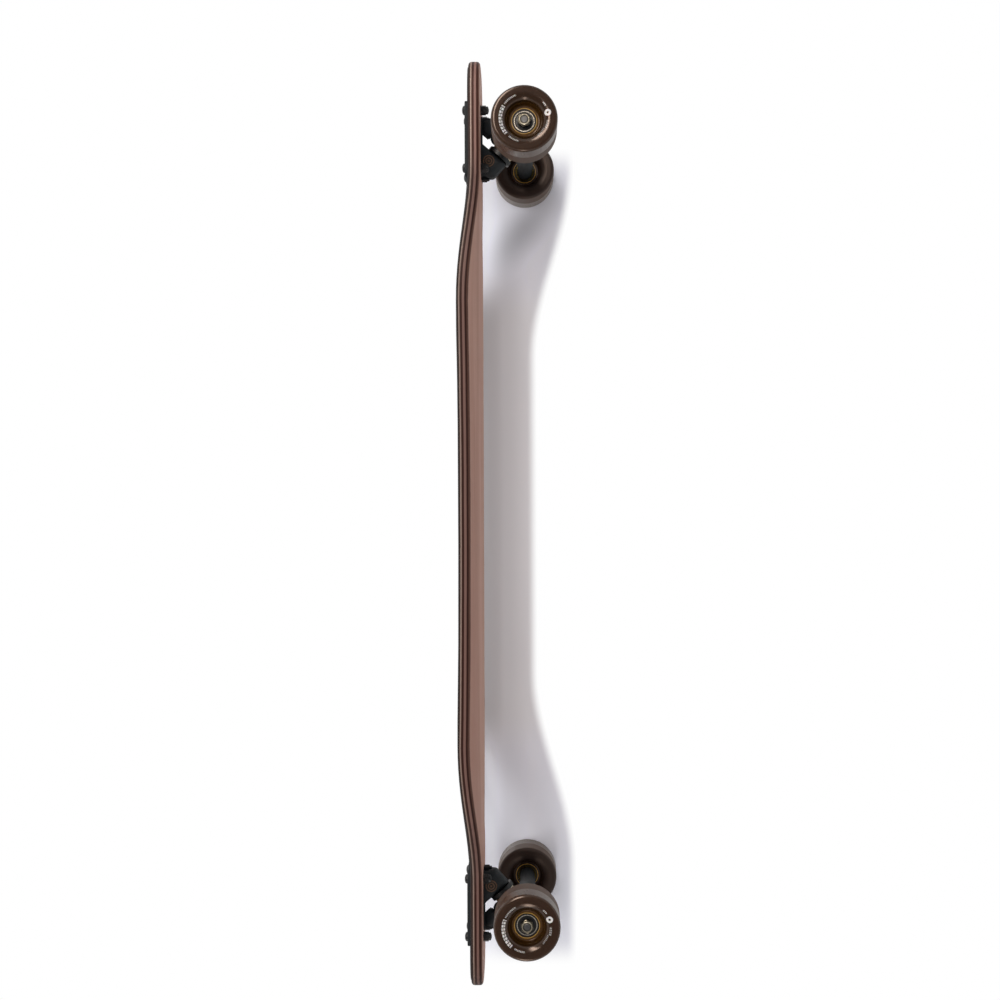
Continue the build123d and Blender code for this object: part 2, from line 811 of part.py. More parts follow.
def make_shields():
    shields = []
    for plane in (shield_outer_face - shield_thickness, -shield_outer_face):
        shield = ring(shield_inner_radius, outer_race_bore / 2, plane, shield_thickness)
        shields += in_both_bearings(shield)
    return Compound(shields)


def make_balls():
    with BuildPart() as ball:
        with Locations((ball_circle, 0, 0)):
            Sphere(ball_radius)
    turns = [Location((0, 0, 0), (0, 0, 360 / ball_count * step)) for step in range(ball_count)]
    balls = [ball.part.moved(turn) for turn in turns]
    return Compound([copy for one in balls for copy in in_both_bearings(one)])


def make_cages():
    with BuildPart() as cage:
        with BuildSketch(Plane.XY.offset(-cage_back)):
            Circle(cage_outer_diameter / 2)
            Circle(cage_inner_diameter / 2, mode=Mode.SUBTRACT)
        extrude(amount=cage_back + cage_front)
        with PolarLocations(ball_circle, ball_count):
            Sphere(ball_radius + cage_clearance, mode=Mode.SUBTRACT)
    return Compound(in_both_bearings(cage.part))


# ------------------------------------------------------------------- wheels

def make_wheel_core():
    """The plastic core: two bearing seats, a rib between them and a waist outside."""
    face = bearing_outer_face + core_proud
    with BuildPart() as core:
        with BuildSketch(Plane.XZ):
            with BuildLine():
                Polyline(
                    (core_radius, face),
                    (core_radius, core_waist_width),
                    (core_waist_radius, core_waist_width - core_waist_slope),
                    (core_waist_radius, core_waist_slope - core_waist_width),
                    (core_radius, -core_waist_width),
                    (core_radius, -face),
                    (bearing_diameter / 2, -face),
                    (bearing_diameter / 2, face),
                    close=True,
                )
            make_face()
        revolve(axis=Axis.Z)
        with BuildSketch(Plane.XY.offset(-spacer_length / 2)):
            Circle(bearing_diameter / 2)
            Circle(core_stop_radius, mode=Mode.SUBTRACT)
        extrude(amount=spacer_length)
    return core.part


def make_wheel():
    """The urethane: tread, rounded shoulders, a flat ring and a dish down to the core."""
    face = wheel_width / 2
    with BuildPart() as wheel:
        with BuildSketch(Plane.XZ):
            with BuildLine():
                half_tread = Line((wheel_radius, 0), (wheel_radius, tread_width / 2))
                shoulder = Bezier(
                    (wheel_radius, tread_width / 2),
                    (wheel_radius, tread_width / 2 + shoulder_tread_reach),
                    (rim_ring_outer + shoulder_side_reach, face),
                    (rim_ring_outer, face),
                )
                flat = Line(shoulder @ 1, (rim_ring_inner, face))
                bend = face - dish_bend_drop
                slope = Bezier(
                    flat @ 1,
                    (rim_ring_inner - dish_lip_run, face),
                    (dish_bend_radius + dish_bend_run, bend + dish_bend_fall),
                    (dish_bend_radius, bend),
                )
                wall = Bezier(
                    slope @ 1,
                    (dish_bend_radius - dish_bend_run, bend - dish_bend_fall),
                    (dish_floor_radius + dish_floor_run, bearing_outer_face),
                    (dish_floor_radius, bearing_outer_face),
                )
                Polyline(
                    wall @ 1,
                    (core_radius, bearing_outer_face),
                    (core_radius, core_waist_width),
                    (core_waist_radius, core_waist_width - core_waist_slope),
                    (core_waist_radius, 0),
                )
                mirror(about=Plane.XZ)
            make_face()
        revolve(axis=Axis.Z)
    return wheel.part


def make_wheels():
    pieces = {
        "wheel": make_wheel(),
        "wheel_core": make_wheel_core(),
        "bearing_outer_races": Compound(in_both_bearings(make_outer_race())),
        "bearing_shields": make_shields(),
        "bearing_balls": make_balls(),
        "bearing_cages": make_cages(),
    }
    for end in ends:
        for side in sides:
            for name, piece in pieces.items():
                write(piece.moved(wheel_frame(end, side)), f"{end}_{side}_{name}")


make_deck()
make_grip_tape()
make_baseplate()
make_pivot_cup()
make_mounting_bolts()
make_mounting_nuts()
make_kingpin()
make_kingpin_washers()
make_bushings()
make_hanger()
make_axle()
make_inner_races()
make_wheels()
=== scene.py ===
"""Looks of the drop-through longboard: finishes, studio and camera. It adds no shapes to it."""

import json
from math import pi

import bpy
from mathutils import Matrix, Vector


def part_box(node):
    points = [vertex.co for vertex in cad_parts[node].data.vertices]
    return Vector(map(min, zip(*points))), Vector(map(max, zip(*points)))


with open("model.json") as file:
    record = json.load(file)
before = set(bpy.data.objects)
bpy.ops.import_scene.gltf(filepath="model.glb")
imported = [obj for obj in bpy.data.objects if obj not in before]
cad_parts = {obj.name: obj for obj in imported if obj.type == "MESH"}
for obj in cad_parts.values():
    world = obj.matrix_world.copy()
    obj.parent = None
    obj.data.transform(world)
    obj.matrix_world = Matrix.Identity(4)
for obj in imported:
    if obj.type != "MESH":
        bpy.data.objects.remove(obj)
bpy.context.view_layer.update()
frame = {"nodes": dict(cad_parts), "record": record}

MM = 0.001


def middle_of(node):
    low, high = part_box(node)
    return (low + high) / 2


# ------------------------------------------------- places and sizes, from the frame

wheel_middle = middle_of("front_left_wheel")
wheel_low, wheel_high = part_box("front_left_wheel")
WHEEL_X = wheel_middle.x
WHEEL_Y = wheel_middle.y
AXLE_Z = wheel_middle.z
WHEEL_RADIUS = (wheel_high.z - wheel_low.z) / 2
WHEEL_SIDE = wheel_high.y

# the deck's top surface: see deck_depth() for the formula
DECK_THICKNESS = 12.7 * MM
DECK_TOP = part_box("front_mounting_washers")[1].z + DECK_THICKNESS
PLATFORM_DROP = 1.5 * MM
CONCAVE_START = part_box("front_baseplate")[0].x - 2.78 * MM
CONCAVE_RUN = 146.0 * MM
CONCAVE_EASE = 1.15
CONCAVE_MIDDLE = 10.8 * MM
CONCAVE_ENDS = 12.6 * MM
PLATFORM_END = WHEEL_X - 183.0 * MM
HALF_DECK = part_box("deck")[1].y

# the round boss on the side of each kingpin block, and the board-side bushing's axis
BOLTS_X = middle_of("front_mounting_bolts").x
BLOCK_SIDE = 12.0 * MM
BOSS_X = BOLTS_X - 21.5 * MM
BOSS_Z = DECK_TOP - 21.3 * MM
BOSS_RADIUS = 6.6 * MM
BUSHING_X = middle_of("front_boardside_bushing").x


# ------------------------------------------------------------------ colour and maths

def tint(code):
    """A colour from its screen code, as linear light."""
    parts = [int(code[i:i + 2], 16) / 255 for i in (1, 3, 5)]
    linear = [c / 12.92 if c <= 0.04045 else ((c + 0.055) / 1.055) ** 2.4 for c in parts]
    return tuple(linear) + (1.0,)


class Field:
    """One output socket of a material. Operators on it add Math nodes."""

    def __init__(self, paint, socket):
        self.paint = paint
        self.socket = socket

    def maths(self, operation, *others):
        return self.paint.maths(operation, self, *others)

    def __add__(self, other):
        return self.maths("ADD", other)

    def __sub__(self, other):
        return self.maths("SUBTRACT", other)

    def __rsub__(self, other):
        return self.paint.maths("SUBTRACT", other, self)

    def __mul__(self, other):
        return self.maths("MULTIPLY", other)

    def __truediv__(self, other):
        return self.maths("DIVIDE", other)

    def __pow__(self, other):
        return self.maths("POWER", other)

    def __abs__(self):
        return self.maths("ABSOLUTE")

    __radd__ = __add__
    __rmul__ = __mul__


class Paint:
    """A material on the Principled shader, with its pattern in the object's own coordinates."""

    def __init__(self, name):
        self.material = bpy.data.materials.new(name)
        self.material.use_nodes = True
        self.tree = self.material.node_tree
        self.shader = self.tree.nodes["Principled BSDF"]
        self.place = self.node("ShaderNodeTexCoord", out="Object")
        self.x, self.y, self.z = self.split(self.place)

    def node(self, kind, settings=None, values=None, out=0):
        """Adds any node: its settings first, then its sockets' values or links."""
        made = self.tree.nodes.new(kind)
        for name, value in (settings or {}).items():
            if name == "stops":
                self.fill_ramp(made.color_ramp, value)
            else:
                setattr(made, name, value)
        for name, value in (values or {}).items():
            self.join(value, made.inputs[name])
        return Field(self, made.outputs[out])

    def join(self, value, socket):
        if isinstance(value, Field):
            self.tree.links.new(value.socket, socket)
        else:
            socket.default_value = value

    @staticmethod
    def fill_ramp(ramp, stops):
        while len(ramp.elements) < len(stops):
            ramp.elements.new(1.0)
        for element, (position, colour) in zip(ramp.elements, stops):
            element.position = position
            element.color = colour

    def maths(self, operation, *values):
        return self.node("ShaderNodeMath", {"operation": operation}, dict(enumerate(values)))

    def split(self, vector):
        made = self.node("ShaderNodeSeparateXYZ", values={0: vector})
        outputs = made.socket.node.outputs
        return [Field(self, outputs[i]) for i in range(3)]

    def vector(self, x, y, z):
        return self.node("ShaderNodeCombineXYZ", values={0: x, 1: y, 2: z})

    def stretched(self, along, across, up):
        """The object's coordinates, scaled per axis."""
        values = {"Vector": self.place, "Scale": (along, across, up)}
        return self.node("ShaderNodeMapping", values=values)

    def noise(self, where=None, scale=1.0, detail=2.0, roughness=0.5):
        where = where or self.place
        values = {"Vector": where, "Scale": scale, "Detail": detail, "Roughness": roughness}
        return self.node("ShaderNodeTexNoise", values=values)

    def cells(self, scale, out="Distance"):
        values = {"Vector": self.place, "Scale": scale}
        return self.node("ShaderNodeTexVoronoi", values=values, out=out)

    def step(self, value, low, high):
        """0 below low, 1 above high, and smooth between; falling if low is above high."""
        values = {"Value": value, "From Min": low, "From Max": high}
        return self.node("ShaderNodeMapRange", {"interpolation_type": "SMOOTHSTEP"}, values)

    def band(self, value, low, high, soft):
        """1 between low and high."""
        return self.step(value, low - soft, low + soft) * self.step(value, high + soft, high - soft)

    def blend(self, share, first, second):
        """From the first colour at 0 to the second at 1; 6, 7 and 2 are Mix's colour sockets."""
        return self.node("ShaderNodeMix", {"data_type": "RGBA"}, {0: share, 6: first, 7: second}, 2)

    def ramp(self, value, stops):
        return self.node("ShaderNodeValToRGB", {"stops": stops}, {"Fac": value})

    def shaded(self, colour, brightness):
        """A colour times a brightness."""
        values = {0: colour, "Scale": brightness}
        return self.node("ShaderNodeVectorMath", {"operation": "SCALE"}, values)

    def relief(self, height, distance):
        values = {"Height": height, "Distance": distance, "Strength": 1.0}
        normal = self.node("ShaderNodeBump", values=values)
        self.join(normal, self.shader.inputs["Normal"])

    def finish(self, **values):
        """Sets the shader's sockets: Base_Color for Base Color, and so on."""
        for name, value in values.items():
            self.join(value, self.shader.inputs[name.replace("_", " ")])
        return self.material


# -------------------------------------------------------------------------- finishes

# how far the print is turned on the front and rear wheels, in whole turns
PRINT_TURN_FRONT = 0.014
PRINT_TURN_REAR = 0.0375
# the print lies only on the outer face, this far outboard of the wheel's middle
PRINT_FACE = (0.0155, 0.0165)
# the plain disc: its turn around the wheel, its middle's radius, and its ring of ink
DISC_TURN = 0.478
DISC_PLACE = 24.8 * MM
DISC_RING = (1.3 * MM, 3.4 * MM)

# where a painted highlight lightens the plies' edge, towards the nose, and by how much
NOSE_HIGHLIGHT = (0.36, 0.42)
NOSE_HIGHLIGHT_SHARE = 0.7
# the spacing of the rings on the block's boss and on the bearing shields
BOSS_RINGS = 0.0026
SHIELD_RINGS = 0.0011
# radii of the bearings' painted highlight ring, the nuts' painted highlight round the collar, and
# the core's golden lip
RACE_HIGHLIGHT = (9.9 * MM, 10.8 * MM)
NUT_HIGHLIGHT = (4.5 * MM, 5.6 * MM)
CORE_LIP = (12.55 * MM, 12.75 * MM)
# from the outer half of a wheel to the half that faces the board's middle
INNER_SIDE = (0.001, -0.001)


def deck_depth(paint):
    """Share of the deck's thickness below its top surface: 0 on the top and 1 underneath.

    share(x) = sin(pi/2 * a^ease), a = (start - |x|) / run held to 0..1
    rise(x) = share * (middle + (ends - middle) * min(|x| / platform end, 1)^2)
    top(x, y) = deck top - drop * share + rise * (y / half width)^2
    """
    along = abs(paint.x)
    reached = (CONCAVE_START - along) / CONCAVE_RUN
    reached = reached.maths("MAXIMUM", 0.0).maths("MINIMUM", 1.0)
    share = (reached ** CONCAVE_EASE * (pi / 2)).maths("SINE")
    towards_end = (along / PLATFORM_END).maths("MINIMUM", 1.0)
    rise = share * (towards_end * towards_end * (CONCAVE_ENDS - CONCAVE_MIDDLE) + CONCAVE_MIDDLE)
    across = paint.y / HALF_DECK
    top = across * across * rise - share * PLATFORM_DROP + DECK_TOP
    return (top - paint.z) / DECK_THICKNESS


def maple_ply():
    """Stained plies along the edge, lightened at the nose by a painted highlight, and straight
    grain on the faces.
    """
    paint = Paint("maple_ply")
    depth = deck_depth(paint)
    grain = paint.noise(paint.stretched(9, 230, 230), detail=6.0, roughness=0.6)
    fine = paint.noise(paint.stretched(60, 1500, 1500), detail=2.0)
    broad = paint.noise(paint.stretched(2.2, 26, 26), detail=3.0)
    wobble = (paint.noise(paint.stretched(14, 14, 14), detail=2.0) - 0.5) * 0.03
    edge = paint.ramp(depth + wobble, [
        (0.0, tint("#1d100c")), (0.190, tint("#21130e")),
        (0.220, tint("#8a766c")), (0.310, tint("#765f55")),
        (0.345, tint("#29120d")), (0.505, tint("#2e150f")),
        (0.535, tint("#70534c")), (0.700, tint("#6b4f47")),
        (0.735, tint("#28110c")), (0.860, tint("#2a140f")),
        (0.895, tint("#51382f")), (1.0, tint("#583f36")),
    ])
    face = paint.blend(paint.step(broad, 0.35, 0.65), tint("#9d7567"), tint("#ab8576"))
    pores = paint.step(fine, 0.60, 0.72) * 0.2
    face = paint.shaded(face, 1.16 - grain * 0.24 - pores)
    # painted highlight: the plies' edge is made up to 1.7 times lighter towards the nose
    nose_highlight = paint.step(paint.x, *NOSE_HIGHLIGHT) * NOSE_HIGHLIGHT_SHARE
    edge = paint.shaded(edge, (1.22 - grain * 0.44) * (1 + nose_highlight))
    facing = paint.node("ShaderNodeTexCoord", out="Normal")
    on_face = paint.step(paint.split(facing)[2], -0.86, -0.96)
    colour = paint.blend(on_face, edge, face)
    paint.relief(grain * 0.5 + fine * 0.3, 0.00006)
    return paint.finish(
        Base_Color=colour, Roughness=0.46 + grain * 0.16, Specular_IOR_Level=0.16,
    )


def grit():
    """Coarse black grit in a resin binder, with some dust, and a few grains made smoother and
    painted lighter grey as a painted glint.
    """
    paint = Paint("grit")
    grains = paint.cells(scale=1900.0)
    clumps = paint.noise(scale=420.0, detail=4.0, roughness=0.7)
    dust = paint.noise(scale=9.0, detail=4.0)
    glint_grains = paint.step(paint.cells(scale=1900.0, out="Color"), 0.80, 0.97)
    colour = paint.blend(dust * 0.5, tint("#101011"), tint("#242325"))
    # painted glint: the glinting grains are lighter grey in colour, and also smoother below
    colour = paint.blend(glint_grains * 0.35, colour, tint("#5a595c"))
    paint.relief(clumps * 0.6 - grains * 1.2, 0.0004)
    return paint.finish(Base_Color=colour, Roughness=0.82 - glint_grains * 0.4, Specular_IOR_Level=0.35)


def powder_coat():
    """Matte black powder coat with its fine orange peel, and a ringed bronze boss."""
    paint = Paint("powder_coat")
    peel = paint.noise(scale=1300.0, detail=2.0)
    patches = paint.noise(scale=60.0, detail=3.0)
    colour = paint.blend(patches, tint("#141618"), tint("#1f2427"))
    along = abs(paint.x) - BOSS_X
    down = paint.z - BOSS_Z
    radius = (along * along + down * down).maths("SQRT")
    on_boss = paint.step(radius, BOSS_RADIUS + 0.0001, BOSS_RADIUS)
    on_boss = on_boss * paint.step(abs(paint.y), BLOCK_SIDE + 0.0002, BLOCK_SIDE + 0.0004)
    rings = (radius * (2 * pi / BOSS_RINGS)).maths("SINE")
    bronze = paint.blend(paint.step(rings, -0.3, 0.6), tint("#28221e"), tint("#5a4537"))
    colour = paint.blend(on_boss, colour, bronze)
    paint.relief(peel + on_boss * rings * 2.0, 0.00012)
    return paint.finish(Base_Color=colour, Roughness=0.62 + patches * 0.16, Specular_IOR_Level=0.3)


def cast_bushing():
    """Cast urethane, with painted shade and light: amber where the hanger shades it, and cream
    further inboard, where light falls on it.
    """
    paint = Paint("cast_bushing")
    tone = paint.noise(scale=160.0, detail=3.0)
    amber = paint.blend(tone, tint("#4a3418"), tint("#6b4a28"))
    cream = paint.blend(tone, tint("#bfae90"), tint("#d8caad"))
    inboard = BUSHING_X - abs(paint.x)
    # painted shade and light: amber on the outboard side, turning to cream inboard
    colour = paint.blend(paint.step(inboard, -0.002, 0.010), amber, cream)
    paint.relief(tone, 0.00004)
    return paint.finish(Base_Color=colour, Roughness=0.35 + tone * 0.1)


def black_oxide(name, light="#26282a"):
    """Blackened steel fasteners, slightly worn."""
    paint = Paint(name)
    wear = paint.noise(scale=700.0, detail=4.0)
    colour = paint.blend(paint.step(wear, 0.4, 0.75), tint("#0c0d0e"), tint(light))
    paint.relief(wear, 0.00004)
    return paint.finish(Base_Color=colour, Roughness=0.3 + wear * 0.25, Metallic=0.35)


def zinc_steel():
    """Zinc plated steel with faint machining marks and stains."""
    paint = Paint("zinc_steel")
    marks = paint.noise(paint.stretched(500, 3000, 500), detail=3.0)
    stains = paint.noise(scale=180.0, detail=4.0)
    colour = paint.blend(stains, tint("#56575a"), tint("#7d7c7b"))
    paint.relief(marks, 0.00003)
    return paint.finish(Base_Color=colour, Roughness=0.28 + marks * 0.14, Metallic=1.0)


def ground_steel():
    """Bearing races: a painted highlight on one bright ring, darker elsewhere, and a painted amber
    reflection of the urethane where they face inboard.
    """
    paint = Paint("ground_steel")
    radius, outboard, _ = wheel_coordinates(paint)
    marks = paint.noise(paint.stretched(500, 3000, 500), detail=3.0)
    stains = paint.noise(scale=180.0, detail=4.0)
    bright = paint.blend(stains, tint("#cfc6b8"), tint("#efe8dc"))
    # painted highlight: the races are bright on one ring and darker elsewhere
    rim = paint.band(radius, *RACE_HIGHLIGHT, 0.00015)
    bright = paint.blend(rim, tint("#4a453e"), bright)
    # painted reflection: amber where the races face inboard
    colour = paint.blend(paint.step(outboard, *INNER_SIDE), bright, tint("#5d5026"))
    paint.relief(marks, 0.00003)
    return paint.finish(Base_Color=colour, Roughness=0.2 + marks * 0.14, Metallic=1.0)


def lock_nut():
    """Dull zinc on the flats, and a bright ring round the collar that is a painted highlight."""
    paint = Paint("lock_nut")
    radius, _, _ = wheel_coordinates(paint)
    stains = paint.noise(scale=260.0, detail=4.0)
    dull = paint.blend(stains, tint("#4f4a40"), tint("#80796a"))
    # painted highlight: a bright ring round the nut's collar
    collar = paint.band(radius, *NUT_HIGHLIGHT, 0.0002)
    colour = paint.blend(collar, dull, tint("#d8cfba"))
    paint.relief(stains, 0.00003)
    return paint.finish(Base_Color=colour, Roughness=0.22 + stains * 0.1, Metallic=1.0)


def plastic(name, dark, light, rough):
    """Moulded plastic with a fine moulded grain and slight changes of tone."""
    paint = Paint(name)
    tone = paint.noise(scale=120.0, detail=3.0)
    skin = paint.noise(scale=900.0, detail=2.0)
    colour = paint.blend(tone, tint(dark), tint(light))
    paint.relief(skin, 0.00004)
    return paint.finish(Base_Color=colour, Roughness=rough + skin * 0.12)


def wheel_coordinates(paint):
    """Radius from the axle, how far outboard of the wheel's middle, and the turn around it."""
    ahead = paint.x - paint.x.maths("SIGN") * WHEEL_X
    up = paint.z - AXLE_Z
    radius = (ahead * ahead + up * up).maths("SQRT")
    outboard = abs(paint.y) - WHEEL_Y
    turn = ahead.maths("ARCTAN2", up) / (2 * pi)
    return radius, outboard, turn


def print_marks(paint, radius, outboard, turn):
    """Plain printed blocks on the outer face, in bold and fine runs, and one plain disc."""
    runs = [
        # turn at the run's middle, its length, blocks in a whole turn, share of ink,
        # radii in mm, and how much of the ink is left
        (0.0, 0.198, 46, 0.74, 22.6, 26.2, 1.0),
        (0.161, 0.098, 92, 0.66, 23.9, 25.5, 0.8),
        (0.839, 0.074, 92, 0.66, 23.6, 25.2, 0.8),
        (0.418, 0.036, 92, 0.66, 24.4, 25.9, 0.9),
        (0.556, 0.060, 70, 0.7, 23.2, 25.4, 0.45),
        (0.624, 0.074, 92, 0.66, 21.8, 23.3, 0.35),
    ]
    front = paint.step(paint.x, -0.1, 0.1)
    turn = turn + PRINT_TURN_REAR + front * (PRINT_TURN_FRONT - PRINT_TURN_REAR)
    worn = paint.noise(scale=1500.0, detail=2.0)
    ink = None
    for middle, length, count, share, inner, outer, left in runs:
        offset = (turn - middle + 1.5).maths("FRACT") - 0.5
        inside = paint.band(offset, -length / 2, length / 2, 0.0015)
        place = turn * count
        beat = place.maths("FRACT")
        tick = paint.band(beat, 0.5 - share / 2, 0.5 + share / 2, 0.07)
        # each block has a bare bar across it, at a height of its own
        height = (radius - inner * MM) / ((outer - inner) * MM)
        order = (place.maths("FLOOR") * 0.618).maths("FRACT")
        bar = paint.band(height - order * 0.6, 0.12, 0.28, 0.05)
        ring = paint.band(radius, inner * MM, outer * MM, 0.00012)
        mark = inside * tick * ring * (1 - bar) * left
        ink = mark if ink is None else ink.maths("MAXIMUM", mark)
    # the plain disc, with a bare middle
    angle = (turn - DISC_TURN) * (2 * pi)
    over = angle.maths("SINE") * radius
    out = angle.maths("COSINE") * radius - DISC_PLACE
    from_disc = (over * over + out * out).maths("SQRT")
    disc = paint.band(from_disc, *DISC_RING, 0.0002)
    ink = ink.maths("MAXIMUM", disc)
    return ink * paint.step(outboard, *PRINT_FACE) * (0.7 + worn * 0.5)


def urethane():
    """Dark brown cast urethane: amber near the core, smoky at the rim, a scuffed tread.

    The change with the radius is painted: the amber near the core is painted light glowing through
    the urethane. The half that faces the board's middle is painted darker, as painted shade, and
    the gloss is tinted brown.
    """
    paint = Paint("urethane")
    radius, outboard, turn = wheel_coordinates(paint)
    swirl = paint.noise(scale=70.0, detail=3.0)
    # painted light: the amber towards the core stands for light glowing through the urethane
    painted_glow = paint.ramp(radius / WHEEL_RADIUS + (swirl - 0.5) * 0.05, [
        (0.383, tint("#74501a")), (0.41, tint("#50340d")), (0.45, tint("#3b240b")),
        (0.50, tint("#2e1b09")), (0.57, tint("#281707")), (0.68, tint("#261508")),
        (0.84, tint("#2c1a0f")), (1.0, tint("#332217")),
    ])
    inner_side = paint.step(outboard, *INNER_SIDE)
    # painted shade: the half that faces the board's middle is darker, without the amber
    painted_glow = paint.blend(inner_side, painted_glow, tint("#170b07"))
    on_tread = paint.step(radius, WHEEL_RADIUS - 0.0006, WHEEL_RADIUS - 0.0001)
    scuffs = paint.noise(paint.stretched(600, 140, 600), detail=5.0, roughness=0.65)
    lines = paint.noise(paint.vector(0.0, paint.y * 900.0, 0.0), scale=1.0, detail=2.0)
    tread = paint.blend(scuffs, tint("#301f16"), tint("#4f3e33"))
    tread = paint.shaded(tread, 0.85 + lines * 0.3)
    colour = paint.blend(on_tread, painted_glow, tread)
    ink = print_marks(paint, radius, outboard, turn)
    colour = paint.blend(ink, colour, tint("#d9d5d2"))
    paint.relief(scuffs * on_tread + lines * on_tread * 0.5, 0.00004)
    return paint.finish(
        Base_Color=colour,
        Roughness=0.2 + on_tread * (0.02 + scuffs * 0.14) + ink * 0.2 + inner_side * 0.3,
        Specular_IOR_Level=0.5, Specular_Tint=(1.0, 0.82, 0.74, 1.0),
        Subsurface_Weight=0.12, Subsurface_Scale=0.004, Subsurface_Radius=(1.0, 0.45, 0.15),
    )


def amber_core():
    """The moulded core: a dark face with a bright golden lip where it meets the urethane."""
    paint = Paint("amber_core")
    radius, _, _ = wheel_coordinates(paint)
    lip = paint.step(radius, *CORE_LIP)
    speckle = paint.noise(scale=900.0, detail=2.0)
    colour = paint.blend(lip, tint("#170d04"), tint("#b98d3e"))
    paint.relief(speckle, 0.00004)
    return paint.finish(Base_Color=colour, Roughness=0.24 + speckle * 0.1)


def bearing_rubber():
    """Black rubber shields with a fine moulded ring pattern."""
    paint = Paint("bearing_rubber")
    radius, _, _ = wheel_coordinates(paint)
    rings = (radius * (2 * pi / SHIELD_RINGS)).maths("SINE")
    dust = paint.noise(scale=500.0, detail=3.0)
    colour = paint.blend(dust, tint("#0b0b0c"), tint("#1b1b1d"))
    paint.relief(rings * 0.5 + dust * 0.3, 0.00008)
    return paint.finish(Base_Color=colour, Roughness=0.34)


FINISHES = {
    "maple": maple_ply(),
    "grip": grit(),
    "truck_black": powder_coat(),
    "pivot_cup": plastic("pivot_nylon", "#0d0d0e", "#1a1a1b", 0.45),
    "black_bolts": black_oxide("black_bolts"),
    "black_nuts": black_oxide("black_nuts", "#303234"),
    "steel": zinc_steel(),
    "nut_steel": lock_nut(),
    "washer_black": black_oxide("cup_washer"),
    "bushing": cast_bushing(),
    "bearing_steel": ground_steel(),
    "shield": bearing_rubber(),
    "cage": plastic("nylon_cage", "#b9a878", "#d2c497", 0.4),
    "urethane": urethane(),
    "core": amber_core(),
}

slots = {entry["node"]: entry["material_slot"] for entry in frame["record"]["subparts"]}
for node, body in frame["nodes"].items():
    body.data.materials.clear()
    body.data.materials.append(FINISHES[slots[node]])


# ------------------------------------------------------------------- studio and camera

# the soft shade painted on the backdrop, in its own coordinates: first its outline
SHADE_NEAR = 0.0265
SHADE_DIP = 0.046
SHADE_OFFSET = -0.01
SHADE_WIDENS = (0.19, 0.42)
SHADE_NOSE_END = (0.455, 0.42)
SHADE_TAIL_END = (-0.535, -0.50)
SHADE_TOP = 0.095
SHADE_SOFT = 0.007
# then its tone: beside the platform, lifted away from the deck and towards both ends
SHADE_TONE = 0.73
LIFT_BELOW = (0.060, 0.025)
LIFT_BY = 0.15
ENDS_FROM = (0.23, 0.30)
ENDS_LIFT = 0.08
BY_DECK = (0.056, 0.082)
BY_DECK_LIFT = 0.22
SHADE_TINT = (1.03, 1.02, 1.05, 1.0)
SHADE_TINT_ENDS = (1.0, 1.0, 1.08, 1.0)
# and a darker slanted oval by the front wheels
OVAL_MIDDLE_X = 0.355
OVAL_HALF_X = 0.075
OVAL_MIDDLE_Z = 0.034
OVAL_HALF_Z = 0.042
OVAL_SLANT = 0.6
OVAL_SLANT_FROM = 0.36
OVAL_DEPTH = 0.45

# what the board itself gets from the backdrop, the world and the card
PAPER_WHITE = 0.86
AMBIENT = 0.12
CARD_LEVEL = 0.28

CAMERA_PLACE = (-0.0014, -1.545, 0.033)
CAMERA_LENS = 49.86
CAMERA_SHIFT = (-0.0271, 0.0246)
CAMERA_ROLL = 0.00362


def plane(name, corners, material):
    mesh = bpy.data.meshes.new(name)
    mesh.from_pydata(corners, [], [(0, 1, 2, 3)])
    mesh.materials.append(material)
    made = bpy.data.objects.new(name, mesh)
    bpy.context.scene.collection.objects.link(made)
    return made


def backdrop_material():
    """Matte white on the side that faces the board, and clear from behind.

    The camera alone sees a painted shade beside the board and pure white beyond it. The
    shade is not the board's shadow. It ends at height
    reach(x) = near - dip * (rise of |x + offset| from the platform to the wheels)
    """
    paint = Paint("backdrop")
    along = abs(paint.x + SHADE_OFFSET)
    reach = SHADE_NEAR - paint.step(along, *SHADE_WIDENS) * SHADE_DIP
    plain = paint.step(paint.z - reach, -SHADE_SOFT, SHADE_SOFT)
    plain = plain * paint.step(paint.z, SHADE_TOP, SHADE_TOP - SHADE_SOFT)
    plain = plain * paint.step(paint.x, *SHADE_NOSE_END) * paint.step(paint.x, *SHADE_TAIL_END)
    at_end = paint.step(along, *ENDS_FROM)
    by_deck = paint.step(paint.z, *BY_DECK)
    tone = SHADE_TONE + paint.step(paint.z, *LIFT_BELOW) * LIFT_BY
    tone = tone + at_end * (by_deck * BY_DECK_LIFT + ENDS_LIFT)
    slanted = (paint.x - OVAL_SLANT_FROM) * OVAL_SLANT
    over = (paint.z - OVAL_MIDDLE_Z + slanted) / OVAL_HALF_Z
    on = (paint.x - OVAL_MIDDLE_X) / OVAL_HALF_X
    by_wheel = paint.step((over * over + on * on).maths("SQRT"), 1.0, 0.0)
    tone = tone * (1 - by_wheel * OVAL_DEPTH)
    shade = paint.shaded(paint.blend(at_end, SHADE_TINT, SHADE_TINT_ENDS), tone)
    by_camera = paint.node("ShaderNodeLightPath", out="Is Camera Ray")
    colour = paint.blend(by_camera, (PAPER_WHITE,) * 3 + (1.0,), shade)
    matte = paint.node("ShaderNodeBsdfDiffuse", values={"Color": colour})
    white = paint.node("ShaderNodeEmission", values={"Color": (1.0,) * 4, "Strength": 1.0})
    beyond = by_camera * (1 - plain)
    matte = paint.node("ShaderNodeMixShader", values={0: beyond, 1: matte, 2: white})
    clear = paint.node("ShaderNodeBsdfTransparent")
    behind = paint.node("ShaderNodeNewGeometry", out="Backfacing")
    mixed = paint.node("ShaderNodeMixShader", values={0: behind, 1: matte, 2: clear})
    output = paint.tree.nodes["Material Output"]
    paint.join(mixed, output.inputs["Surface"])
    return paint.material


